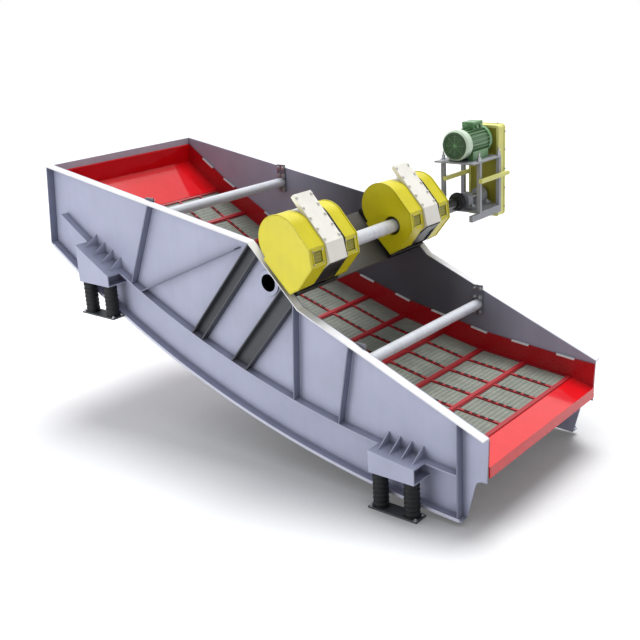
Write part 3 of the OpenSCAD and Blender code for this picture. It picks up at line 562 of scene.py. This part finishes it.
# Deck: moulded panels of 400 by 600 mm pinned to rails in six columns, with red frames and a grey
# slotted field. Red cross bars cover the joints between the rows and slow the bed of material.
SLOPES = 5
ROWS = 2
COLUMNS = 6
PANEL = (0.600, 0.400)
FRAME_END = 0.036
FRAME_SIDE = 0.018
FRAME_T = 0.016
MESH_T = 0.010
WINDOW = (PANEL[0] - 2 * FRAME_END, PANEL[1] - 2 * FRAME_SIDE)
LONG_BARS = 20
LONG_BAR = (WINDOW[0] / 2, 0.006)
LONG_BAR_Z = (-FRAME_T - MESH_T, -FRAME_T)
CROSS_BARS = 9
CROSS_BAR = (0.010, WINDOW[1] / 2)
CROSS_BAR_Z = (-FRAME_T - MESH_T, -FRAME_T - 0.001)
JOINT_BAR = (0.026, 1.199)
JOINT_BAR_X = -0.002
JOINT_BAR_Z = (-0.002, 0.013)
PIN = (0.030, 0.009)
PIN_Z = (-0.002, 0.007)
PIN_STEPS = (-0.15, -0.05, 0.05, 0.15)
# Dull red polyurethane: scuffed matt by the material, and darker than the liners as painted shade.
shaded_dull_red = urethane("dull_red_polyurethane_painted_shade", "#99101B", "#B41A25", 0.4, 0.55)
paint(shaded_dull_red, "deck_frames")
# Grey moulded mesh: matt and a little green, with dust in its openings.
mesh_grey, tree = empty_finish("matt_grey_mesh_rubber")
place = add(tree, "TexCoord").outputs["Object"]
tone_field = add(tree, "TexNoise", {"Vector": place, "Scale": per_metre(120), "Detail": 4.0})
tone = add(tree, "Mix", {0: tone_field.outputs[0], 6: linear("#7B8379"), 7: linear("#A3A69B")}, data_type="RGBA")
shader = add(tree, "BsdfPrincipled", {"Base Color": tone.outputs[2], "Roughness": 0.65, "IOR": 1.45})
add(tree, "OutputMaterial", {"Surface": shader.outputs[0]})

bm = bmesh.new()
for k in range(LONG_BARS):
    y = (k + 0.5) / LONG_BARS * WINDOW[1] - WINDOW[1] / 2
    bar(bm, Matrix.Identity(4), (0, y), LONG_BAR, LONG_BAR_Z)
for k in range(CROSS_BARS):
    x = (k + 0.5) / CROSS_BARS * WINDOW[0] - WINDOW[0] / 2
    bar(bm, Matrix.Identity(4), (x, 0), CROSS_BAR, CROSS_BAR_Z)
one = bm.verts[:] + bm.edges[:] + bm.faces[:]
for i in range(SLOPES):
    for column in range(COLUMNS):
        for row in range(ROWS):
            copy = bmesh.ops.duplicate(bm, geom=one)["geom"]
            middle = (-(row + 0.5) * PANEL[0], (column - (COLUMNS - 1) / 2) * PANEL[1], 0)
            verts = [v for v in copy if isinstance(v, bmesh.types.BMVert)]
            bmesh.ops.transform(bm, matrix=slope_frame(i) @ Matrix.Translation(middle), verts=verts)
bmesh.ops.delete(bm, geom=[g for g in one if isinstance(g, bmesh.types.BMVert)], context="VERTS")
mesh_bars = piece("deck_mesh_bars", bm, mesh_grey, "screen_box")
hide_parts("deck_mesh")

# Black rubber: moulded, dull, with a fine grain that breaks up its sheen.
black_rubber, tree = empty_finish("moulded_black_rubber")
place = add(tree, "TexCoord").outputs["Object"]
tone_field = add(tree, "TexNoise", {"Vector": place, "Scale": per_metre(45), "Detail": 3.0})
tone = add(tree, "Mix", {0: tone_field.outputs[0], 6: linear("#08090B"), 7: linear("#15171A")}, data_type="RGBA")
bump = add(tree, "Bump", {"Height": tone_field.outputs[0], "Distance": 0.0008, "Strength": 0.3})
shader = add(tree, "BsdfPrincipled", {
    "Base Color": tone.outputs[2], "Roughness": 0.6, "Normal": bump.outputs[0], "IOR": 1.38})
add(tree, "OutputMaterial", {"Surface": shader.outputs[0]})

joints = bmesh.new()
pins = bmesh.new()
for i in range(SLOPES):
    for row in range(ROWS):
        bar(joints, slope_frame(i), (JOINT_BAR_X - row * PANEL[0], 0), JOINT_BAR, JOINT_BAR_Z, soft=0.004)
        for joint in range(1, COLUMNS):
            for step in PIN_STEPS:
                middle = (-(row + 0.5) * PANEL[0] + step, (joint - COLUMNS / 2) * PANEL[1])
                bar(pins, slope_frame(i), middle, PIN, PIN_Z)
piece("deck_cross_bars", joints, shaded_dull_red, "screen_box")
piece("deck_pins", pins, black_rubber, "screen_box")

# Exciters: two gear exciters on black seats, bolted down on the bridge and against stop bars. Each has
# a white cast housing with a bolted lid and black painted shade on its discharge end; a tube shaft links
# them.
EXCITER_Y = 0.941
HOUSING_HALF = 0.150
HOUSING = (EXCITER_Y - HOUSING_HALF, EXCITER_Y + HOUSING_HALF)
GUARD_W = 0.270
TOP_START = (-0.497, 0.725)
TOP_FALL = 0.0634
TOP_OUT = (0.0632, 0, 0.998)
TOP_BOLTS = [-0.455 + 0.138 * k for k in range(5)]
TOP_BOLT_IN = 0.026
TOP_BOLT_W = 0.022
# A black sheet and a black block of painted shade on each housing's discharge end.
END_SHADE_AT = (0.3125, 0.315)
END_SHADE_TURN = math.radians(95.04)
END_SHADE = (0.235, 0.146)
END_SHADE_Z = (-0.004, 0.014)
HEEL = ((0.295, 0.079), (0.309, 0.079), (0.348, 0.205), (0.331, 0.385), (0.310, 0.385))
HEEL_GAP = 0.001
STOP_GAPS = (0.004, 0.002)
STOP_Y = (HOUSING[0] - GUARD_W + STOP_GAPS[0], WALL_IN - STOP_GAPS[1])
STOP = (0.0245, (STOP_Y[1] - STOP_Y[0]) / 2)
STOP_X = 0.3135
STOP_Z = (0.001, 0.078)
# Warm white enamel: a bright coat on the cast housings, a little cream beside the yellow.
warm_white = enamel("warm_white_enamel", "#FBF8EC", "#FFFFFF", 0.38)
paint(warm_white, *both("exciter_housing"))
paint(black_enamel, *both("exciter_seat"))
# The ties' silver enamel on the whole of the link shaft.
silver_enamel = enamel("silver_enamel", SILVER, "#F4F4F6", 0.28, cloud_mm=240, coat=0.3)
paint(silver_enamel, "link_shaft")


def prism(bm, frame_of, outline, y, depth):
    """A block with a closed outline in the side view, depth long across y."""
    face = bm.faces.new([bm.verts.new(frame_of @ Vector((x, y, z))) for x, z in outline])
    drawn_out(bm, [face], frame_of, depth)


bolts = []
end_shades = bmesh.new()
stops = bmesh.new()
for sign in (-1, 1):
    for x in TOP_BOLTS:
        for y in (HOUSING[0] + TOP_BOLT_IN, HOUSING[1] - TOP_BOLT_IN):
            top = Vector((x, sign * y, TOP_START[1] - TOP_FALL * (x - TOP_START[0])))
            bolts.append((SEAT @ top, SEAT.to_3x3() @ Vector(TOP_OUT)))
    # Painted shade: a black sheet and a black block on the discharge end of each housing.
    end = SEAT @ Matrix.Translation((END_SHADE_AT[0], sign * EXCITER_Y, END_SHADE_AT[1]))
    bar(end_shades, end @ Matrix.Rotation(END_SHADE_TURN, 4, "Y"), (0, 0), END_SHADE, END_SHADE_Z, soft=0.004)
    prism(end_shades, SEAT, HEEL, sign * (HOUSING[0] + HEEL_GAP), sign * 2 * (HOUSING_HALF - HEEL_GAP))
    bar(stops, SEAT, (STOP_X, sign * sum(STOP_Y) / 2), STOP, STOP_Z, soft=0.004)
hex_bolts("housing_bolts", bolts, TOP_BOLT_W, warm_white, "screen_box")
piece("housing_end_painted_shade", end_shades, black_enamel, "screen_box")
piece("seat_stop_bars", stops, black_enamel, "screen_box")

# Exciter guards: yellow sheet-metal boxes over the counterweights on both sides of each housing, with
# a rolled rim, a black strip of painted shade on the far side of each housing and a slatted window in the
# nose.
GUARD_R = 0.285
GUARD_C = Vector((-0.180, 0.400))
GUARD_FOOT = 0.074
NOSE = (Vector((0.145, 0.664)), Vector((0.315, 0.530)))
GUARD = arc(GUARD_C, GUARD_R, 90, 271, 6)
GUARD += [Vector((GUARD_C.x, GUARD_FOOT)), Vector((0.310, GUARD_FOOT)), Vector((0.350, 0.205))]
GUARD += [NOSE[1], NOSE[0]]
GUARD_RIM = (0.006, 0.007)
GUARD_RIM_W = 0.014
FAR_SHADE = (0.004, 0.010)
FAR_SHADE_W = 0.045
PANE = (0.064, 0.074)
PANE_Z = (-0.014, -0.009)
SLATS_X = (-0.040, 0.0, 0.040)
SLAT = (0.010, 0.060)
SLAT_Z = (-0.010, -0.003)
SASH_AT = (0.071, 1.12 * 0.071)
SASH_HALF = 0.008
SASH_REACH = (0.079, 0.087)
SASH_Z = (-0.002, 0.005)
SASH_SCREW = (0.079, 0.004)
SASH_SCREW_W = 0.010
# Yellow enamel: full gloss, slightly green, with paler rubbed edges.
yellow_enamel = enamel("gloss_yellow_enamel", "#DFD208", "#F0EA62", 0.36, cloud_mm=300)
paint(yellow_enamel, *both("outer_guard", "inner_guard"))
# Olive enamel: the same yellow painted darker, as painted shade behind the window frames and on the belt
# guard's front.
shaded_olive_enamel = enamel("olive_enamel_painted_shade", "#9F992F", "#D2CD78", 0.45)

bm = bmesh.new()
for sign in (-1, 1):
    rim(bm, SEAT, GUARD, *GUARD_RIM, sign * (HOUSING[0] - GUARD_W), sign * GUARD_RIM_W)
    rim(bm, SEAT, GUARD, *GUARD_RIM, sign * (HOUSING[1] + GUARD_W), -sign * GUARD_RIM_W)
piece("guard_rims", bm, yellow_enamel, "screen_box")

# Painted shade: a black strip round the guard against the far side of each housing.
bm = bmesh.new()
for y in (-HOUSING[0], HOUSING[1]):
    rim(bm, SEAT, GUARD, *FAR_SHADE, y, FAR_SHADE_W)
piece("housing_far_side_painted_shade", bm, black_rubber, "screen_box")

nose_fall = math.atan2(NOSE[0].y - NOSE[1].y, NOSE[1].x - NOSE[0].x)
nose_middle = (NOSE[0] + NOSE[1]) / 2
# The olive window panes are painted shade in the guards' windows.
panes = bmesh.new()
sashes = bmesh.new()
screws = []
inner = HOUSING[0] - GUARD_W / 2
outer = HOUSING[1] + GUARD_W / 2
for y in (-outer, -inner, inner, outer):
    place = Matrix.Translation((nose_middle.x, y, nose_middle.y))
    nose = SEAT @ place @ Matrix.Rotation(nose_fall, 4, "Y")
    out = nose.to_3x3() @ Vector((0, 0, 1))
    bar(panes, nose, (0, 0), PANE, PANE_Z)
    for x in SLATS_X:
        bar(panes, nose, (x, 0), SLAT, SLAT_Z, soft=0.003)
    for side in (-1, 1):
        bar(sashes, nose, (side * SASH_AT[0], 0), (SASH_HALF, SASH_REACH[1]), SASH_Z, soft=0.002)
        bar(sashes, nose, (0, side * SASH_AT[1]), (SASH_REACH[0], SASH_HALF), SASH_Z, soft=0.002)
        for across in (-SASH_SCREW[0], SASH_SCREW[0]):
            screws.append((nose @ Vector((side * SASH_AT[0], across, SASH_SCREW[1])), out))
piece("guard_window_panes", panes, shaded_olive_enamel, "screen_box")
piece("guard_window_frames", sashes, yellow_enamel, "screen_box")
hex_bolts("guard_window_screws", screws, SASH_SCREW_W, zinc, "screen_box")

# Drive: a welded stand with yellow rails carries a jackshaft in two pillow blocks. A shaft and a rubber
# tyre coupling turn the exciters, and the tyre takes up the movement between the stand and the screen.
motor_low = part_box("motor")[0]
PLATE_Z = motor_low.z
STUD_X = 0.272
STUD_Y = (2.115, 2.615)
# The stud, its washer, its nut and its locknut: sides, radius and heights.
STUD_ROWS = ((12, 0.012, -0.001, 0.109), (16, 0.034, 0.0, 0.006),
             (6, 0.025, 0.006, 0.030), (6, 0.025, 0.034, 0.054))
BEARING_X = 0.120
BEARING_Y = (2.205, 2.575)
BEARING_FOOT = 0.040
BEARING_BOLT_W = 0.030
paint(black_enamel, "drive_shaft")
paint(black_rubber, "tyre_coupling")
paint(zinc, "jackshaft")
# Stand enamel: mid grey, scuffed pale on the corners.
stand_grey = enamel("stand_grey_enamel", "#A3A5AA", "#D0D1D5", 0.45)
paint(stand_grey, "drive_stand", "bearing_blocks")
# Guard yellow: the yellow painted paler, as painted light on the stand's rails and the belt guard's sheet.
lit_guard_yellow = enamel("pale_yellow_enamel_painted_light", "#F2EF88", "#FAF9D2", 0.4)
paint(lit_guard_yellow, "guard_rails")

bm = bmesh.new()
for x in (-STUD_X, STUD_X):
    for y in STUD_Y:
        foot = Matrix.Translation((AXIS.x + x, MID + y, PLATE_Z))
        for sides, radius, low, high in STUD_ROWS:
            post(bm, foot, sides, (radius, radius), low, high)
piece("stand_studs", bm, zinc, "base")

places = []
for y in BEARING_Y:
    for x in (-BEARING_X, BEARING_X):
        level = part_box("bearing_blocks")[0].z + BEARING_FOOT
        places.append((Vector((AXIS.x + x, MID + y, level)), (0, 0, 1)))
hex_bolts("bearing_bolts", places, BEARING_BOLT_W, zinc, "base")

# Motor: a finned cast motor, bolted by its feet to the top plate of the stand. Its fan runs in a
# pressed sheet cowl with a wire grille, and a terminal box with two glands is screwed on top.
MOTOR_H = 0.209
MOTOR = Vector((AXIS.x, motor_low.y, PLATE_Z + MOTOR_H))
COWL = Matrix.Translation(MOTOR) @ TO_Y
FAN_R = 0.1425
FAN_Z = (-0.0215, -0.0195)
FAN_RIM_R = 0.160
FAN_RIM = (0.0165, 0.0148)
FAN_RIM_Y = -0.0012
FAN_RIM_T = 0.002
GRILLE_RINGS = (0.030, 0.054, 0.078, 0.102, 0.126)
GRILLE_WIRE = 0.0035
GRILLE_Z = -0.006
SPOKES = 8
SPOKE = (0.0615, 0.003)
SPOKE_X = 0.0815
SPOKE_Z = (-0.012, -0.007)
HUB_SIDES = 20
HUB_R = (0.026, 0.022)
HUB_Z = (-0.011, -0.003)
# Section of the cowl's sheet, as distances from the motor's axis and out of its face.
SHEET = ((0.1970, -0.124), (0.1995, -0.124), (0.1995, -0.0218),
         (0.1772, 0.0005), (0.1750, 0.0005), (0.1970, -0.0215))
BOX_LID = (0.091, 0.121)
BOX_LID_Y = 0.445
BOX_LID_Z = (0.232, 0.262)
GLANDS = [Vector((0.100, y, 0.200)) for y in (0.39, 0.49)]
GLAND_SIDES = 6
GLAND_R = 0.024
GLAND_L = 0.030
EYE = Vector((0, 0.240, 0.222))
EYE_R = 0.024
EYE_WIRE = 0.007
# Motor green: satin sea green, with paler fins' edges.
green_enamel = enamel("motor_green_enamel", "#6BA067", "#BCD8B4", 0.34, cloud_mm=200, coat=0.2)
paint(green_enamel, "motor")
# Shaded green enamel: the motor's green painted dark, as painted shade inside the fan cowl behind its
# grille and on the cowl's front ring.
shaded_green = enamel("dark_green_enamel_painted_shade", "#3B5A3E", "#6F8C70", 0.6)
# Mint enamel: the glossy sheet of the fan cowl, painted pale as a painted highlight.
highlit_mint_enamel = enamel("pale_mint_enamel_painted_highlight", "#D6ECD0", "#F2FAEC", 0.25, coat=0.4)


def hoop(bm, frame_of, radius, wire, steps=40):
    """A closed ring of round wire in the x-y plane of a frame."""
    start = frame_of @ Matrix.Translation((radius, 0, 0)) @ TO_Y
    ring = bmesh.ops.create_circle(bm, segments=6, radius=wire, matrix=start)
    edges = {e for v in ring["verts"] for e in v.link_edges}
    axis = frame_of.to_3x3() @ Vector((0, 0, 1))
    bmesh.ops.spin(bm, geom=[*ring["verts"], *edges], cent=frame_of.translation, axis=axis,
                   angle=2 * math.pi, steps=steps, use_merge=True)


# Painted shade: a dark green disc behind the grille and a dark ring on the cowl's front.
bm = bmesh.new()
post(bm, COWL, ROUND, (FAN_R, FAN_R), *FAN_Z)
fan_edge = arc(Vector((0, 0)), FAN_RIM_R, 0, 360, 5)
rim(bm, Matrix.Translation(MOTOR), fan_edge, *FAN_RIM, FAN_RIM_Y, FAN_RIM_T)
piece("fan_opening", bm, shaded_green, "base")

bm = bmesh.new()
for radius in GRILLE_RINGS:
    hoop(bm, COWL @ Matrix.Translation((0, 0, GRILLE_Z)), radius, GRILLE_WIRE)
for k in range(SPOKES):
    turned = COWL @ Matrix.Rotation(2 * math.pi * k / SPOKES, 4, "Z")
    bar(bm, turned, (SPOKE_X, 0), SPOKE, SPOKE_Z)
post(bm, COWL, HUB_SIDES, HUB_R, *HUB_Z)
piece("fan_grille", bm, green_enamel, "base")

# Painted highlight: the cowl's sheet is painted pale mint.
bm = bmesh.new()
verts = [bm.verts.new(COWL @ Vector((r, 0, out))) for r, out in SHEET]
edges = [bm.edges.new((verts[k - 1], v)) for k, v in enumerate(verts)]
bmesh.ops.spin(bm, geom=verts + edges, cent=MOTOR, axis=(0, 1, 0), angle=2 * math.pi, steps=72,
               use_merge=True)
piece("fan_cowl_band", bm, highlit_mint_enamel, "base")

bm = bmesh.new()
bar(bm, Matrix.Translation(MOTOR), (0, BOX_LID_Y), BOX_LID, BOX_LID_Z, soft=0.012)
for place in GLANDS:
    gland = Matrix.Translation(MOTOR + place) @ Matrix.Rotation(math.radians(90), 4, "Y")
    post(bm, gland, GLAND_SIDES, (GLAND_R, GLAND_R), -GLAND_L / 2, GLAND_L / 2)
hoop(bm, Matrix.Translation(MOTOR + EYE) @ TO_Y, EYE_R, EYE_WIRE, steps=24)
piece("motor_box_lid", bm, green_enamel, "base")

# Belt guard: a folded sheet box over the belt and its pulleys, bolted to the stand. Its lid has a
# flange with screws round the box, and its front is a rim round an olive panel of painted shade.
BELT_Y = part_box("belt_guard")[0].y
BELT = Matrix.Translation((AXIS.x, BELT_Y, AXIS.z))
BELT_HALF = 0.230
BELT_LOW = -0.313
BELT_TOP = 0.917
BELT_CORNER = 0.045
BELT_RIM = (0.034, -0.004)
BELT_RIM_Y = -0.010
BELT_RIM_W = 0.012
BELT_PANEL_IN = 0.030
BELT_PANEL_Y = -0.004
BELT_PANEL_T = 0.006
LID_Y = 0.140
LID_W = 0.030
LID_T = 0.006
LID_SINK = 0.002
LID_SCREWS_X = (-0.120, 0.120)
LID_SCREWS_Z = (-0.200, 0.060, 0.320, 0.580, 0.820)
LID_SCREW_W = 0.012
# The belt guard's pale yellow is painted light.
paint(lit_guard_yellow, "belt_guard")


def belt_corners(inset):
    """The corners of the belt guard's front, anticlockwise from the lower right, moved in by a distance."""
    right = BELT_HALF - inset
    low = BELT_LOW + inset
    top = BELT_TOP - inset
    return [Vector(p) for p in ((right, low), (right, top), (-right, top), (-right, low))]


bm = bmesh.new()
rim(bm, BELT, belt_corners(0), *BELT_RIM, BELT_RIM_Y, BELT_RIM_W)
piece("belt_guard_rim", bm, lit_guard_yellow, "base")
# Painted shade: the olive panel darkens the belt guard's front.
bm = bmesh.new()
prism(bm, BELT, belt_corners(BELT_PANEL_IN), BELT_PANEL_Y, BELT_PANEL_T)
piece("belt_guard_panel", bm, shaded_olive_enamel, "base")

shell = []
for k, corner in enumerate(belt_corners(BELT_CORNER)):
    shell += arc(corner, BELT_CORNER, 90 * k - 90, 90 * k + 1, 15)
bm = bmesh.new()
rim(bm, BELT, shell, LID_SINK, LID_T, LID_Y, LID_W)
piece("belt_guard_lid_flange", bm, lit_guard_yellow, "base")

places = []
for z in LID_SCREWS_Z:
    for side in (-1, 1):
        point = Vector((side * (BELT_HALF + LID_T), LID_Y + LID_W / 2, z))
        places.append((BELT @ point, (side, 0, 0)))
for x in LID_SCREWS_X:
    places.append((BELT @ Vector((x, LID_Y + LID_W / 2, BELT_TOP + LID_T)), (0, 0, 1)))
hex_bolts("belt_guard_screws", places, LID_SCREW_W, zinc, "base")

# Springs and bases: pairs of moulded rubber springs between the wall brackets and base plates.
# The plates are anchored to the steelwork with four bolts each.
BASES = ((-4.585, 1.430), (0.0, 0.0))
BASE_Y = 1.440
BASE_T = 0.020
ANCHOR_X = 0.282
ANCHOR_Y = 0.067
ANCHOR_W = 0.026
paint(black_rubber, "feed_springs", "discharge_springs")
paint(dark_enamel, *both("feed_base", "discharge_base"))
places = []
for x, z in BASES:
    for y in (MID - BASE_Y, MID + BASE_Y):
        for dx in (-ANCHOR_X, ANCHOR_X):
            for dy in (-ANCHOR_Y, ANCHOR_Y):
                places.append((Vector((x + dx, y + dy, z + BASE_T)), (0, 0, 1)))
hex_bolts("anchor_bolts", places, ANCHOR_W, zinc, "base")
